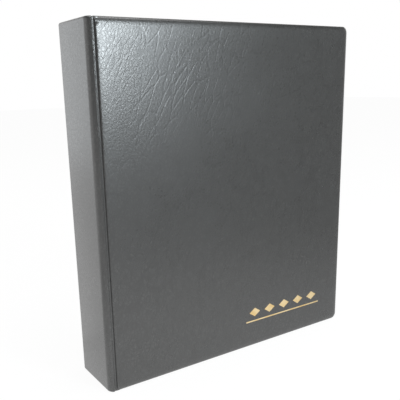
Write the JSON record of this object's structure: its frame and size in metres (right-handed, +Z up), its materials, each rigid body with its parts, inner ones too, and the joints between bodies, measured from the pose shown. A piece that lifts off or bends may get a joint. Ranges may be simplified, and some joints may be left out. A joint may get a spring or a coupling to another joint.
{
  "type": "banknote album",
  "caption": "Ring-bound banknote album with padded leatherette covers, clear pocket pages and black interleaves, closed and standing upright.",
  "frame": {"origin": "bottom centre of the closed album's bounding box, on the surface that it stands on", "axes": "+Z up along the spine, -Y out of the front cover, -X out of the spine, +X towards the fore edge"},
  "size_m": [0.246, 0.054, 0.272],
  "materials": {
    "leatherette": "satin",
    "greyboard": "matte",
    "foam": "matte",
    "lining": "matte",
    "gold_foil": "polished",
    "nickel_steel": "polished",
    "clear_film": "gloss",
    "black_paper": "matte"
  },
  "bodies": {
    "spine": {"spine_board": "greyboard", "spine_skin": "leatherette", "spine_lining": "lining", "ring_housing": "nickel_steel", "lever_pins": "nickel_steel", "mount_rivets": "nickel_steel", "rivet_collars": "nickel_steel"},
    "front_cover": {"front_board": "greyboard", "front_pad": "foam", "front_skin": "leatherette", "front_lining": "lining", "front_foil_mark": "gold_foil"},
    "back_cover": {"back_board": "greyboard", "back_pad": "foam", "back_skin": "leatherette", "back_lining": "lining"},
    "front_rings": {"front_rail": "nickel_steel", "front_half_ring_1": "nickel_steel", "front_half_ring_2": "nickel_steel", "front_half_ring_3": "nickel_steel", "front_half_ring_4": "nickel_steel"},
    "back_rings": {"back_rail": "nickel_steel", "back_half_ring_1": "nickel_steel", "back_half_ring_2": "nickel_steel", "back_half_ring_3": "nickel_steel", "back_half_ring_4": "nickel_steel"},
    "upper_trigger": {"top_lever": "nickel_steel"},
    "lower_trigger": {"bottom_lever": "nickel_steel"},
    "leaf_01": {"page_01": "clear_film", "interleaf_01": "black_paper"},
    "leaf_02": {"page_02": "clear_film", "interleaf_02": "black_paper"},
    "leaf_03": {"page_03": "clear_film", "interleaf_03": "black_paper"},
    "leaf_04": {"page_04": "clear_film", "interleaf_04": "black_paper"},
    "leaf_05": {"page_05": "clear_film", "interleaf_05": "black_paper"},
    "leaf_06": {"page_06": "clear_film", "interleaf_06": "black_paper"},
    "leaf_07": {"page_07": "clear_film", "interleaf_07": "black_paper"},
    "leaf_08": {"page_08": "clear_film", "interleaf_08": "black_paper"},
    "leaf_09": {"page_09": "clear_film", "interleaf_09": "black_paper"},
    "leaf_10": {"page_10": "clear_film", "interleaf_10": "black_paper"}
  },
  "joints": [
    {"name": "front_cover_swing", "type": "hinge", "parent": "spine", "child": "front_cover", "pos_m": [-0.1168, -0.0271, 0.136], "axis": [0, 0, -1], "range_deg": [0, 180]},
    {"name": "back_cover_swing", "type": "hinge", "parent": "spine", "child": "back_cover", "pos_m": [-0.1168, 0.0271, 0.136], "axis": [0, 0, 1], "range_deg": [0, 180]},
    {"name": "front_rings_open", "type": "hinge", "parent": "spine", "child": "front_rings", "pos_m": [-0.11755, -0.009, 0.136], "axis": [0, 0, -1], "range_deg": [0, 5]},
    {"name": "back_rings_open", "type": "hinge", "parent": "spine", "child": "back_rings", "pos_m": [-0.11755, 0.009, 0.136], "axis": [0, 0, 1], "range_deg": [0, 5]},
    {"name": "top_lever_press", "type": "hinge", "parent": "spine", "child": "upper_trigger", "pos_m": [-0.117, 0, 0.2455], "axis": [0, -1, 0], "range_deg": [0, 20]},
    {"name": "bottom_lever_press", "type": "hinge", "parent": "spine", "child": "lower_trigger", "pos_m": [-0.117, 0, 0.0265], "axis": [0, 1, 0], "range_deg": [0, 20]},
    {"name": "leaf_01_turn", "type": "hinge", "parent": "spine", "child": "leaf_01", "pos_m": [-0.0976, 0, 0.136], "axis": [0, 0, -1], "range_deg": [0, 90]},
    {"name": "leaf_02_turn", "type": "hinge", "parent": "spine", "child": "leaf_02", "pos_m": [-0.0976, 0, 0.136], "axis": [0, 0, -1], "range_deg": [0, 75.6]},
    {"name": "leaf_03_turn", "type": "hinge", "parent": "spine", "child": "leaf_03", "pos_m": [-0.0976, 0, 0.136], "axis": [0, 0, -1], "range_deg": [0, 61.2]},
    {"name": "leaf_04_turn", "type": "hinge", "parent": "spine", "child": "leaf_04", "pos_m": [-0.0976, 0, 0.136], "axis": [0, 0, -1], "range_deg": [0, 46.8]},
    {"name": "leaf_05_turn", "type": "hinge", "parent": "spine", "child": "leaf_05", "pos_m": [-0.0976, 0, 0.136], "axis": [0, 0, -1], "range_deg": [0, 32.4]},
    {"name": "leaf_06_turn", "type": "hinge", "parent": "spine", "child": "leaf_06", "pos_m": [-0.0976, 0, 0.136], "axis": [0, 0, 1], "range_deg": [0, 32.4]},
    {"name": "leaf_07_turn", "type": "hinge", "parent": "spine", "child": "leaf_07", "pos_m": [-0.0976, 0, 0.136], "axis": [0, 0, 1], "range_deg": [0, 46.8]},
    {"name": "leaf_08_turn", "type": "hinge", "parent": "spine", "child": "leaf_08", "pos_m": [-0.0976, 0, 0.136], "axis": [0, 0, 1], "range_deg": [0, 61.2]},
    {"name": "leaf_09_turn", "type": "hinge", "parent": "spine", "child": "leaf_09", "pos_m": [-0.0976, 0, 0.136], "axis": [0, 0, 1], "range_deg": [0, 75.6]},
    {"name": "leaf_10_turn", "type": "hinge", "parent": "spine", "child": "leaf_10", "pos_m": [-0.0976, 0, 0.136], "axis": [0, 0, 1], "range_deg": [0, 90]}
  ],
  "couplings": [
    {"joint": "back_rings_open", "follows": "front_rings_open", "ratio": 1},
    {"joint": "top_lever_press", "follows": "front_rings_open", "ratio": 4},
    {"joint": "bottom_lever_press", "follows": "front_rings_open", "ratio": 4},
    {"joint": "leaf_01_turn", "follows": "front_cover_swing", "ratio": 0.5},
    {"joint": "leaf_02_turn", "follows": "front_cover_swing", "ratio": 0.42},
    {"joint": "leaf_03_turn", "follows": "front_cover_swing", "ratio": 0.34},
    {"joint": "leaf_04_turn", "follows": "front_cover_swing", "ratio": 0.26},
    {"joint": "leaf_05_turn", "follows": "front_cover_swing", "ratio": 0.18},
    {"joint": "leaf_06_turn", "follows": "back_cover_swing", "ratio": 0.18},
    {"joint": "leaf_07_turn", "follows": "back_cover_swing", "ratio": 0.26},
    {"joint": "leaf_08_turn", "follows": "back_cover_swing", "ratio": 0.34},
    {"joint": "leaf_09_turn", "follows": "back_cover_swing", "ratio": 0.42},
    {"joint": "leaf_10_turn", "follows": "back_cover_swing", "ratio": 0.5}
  ]
}
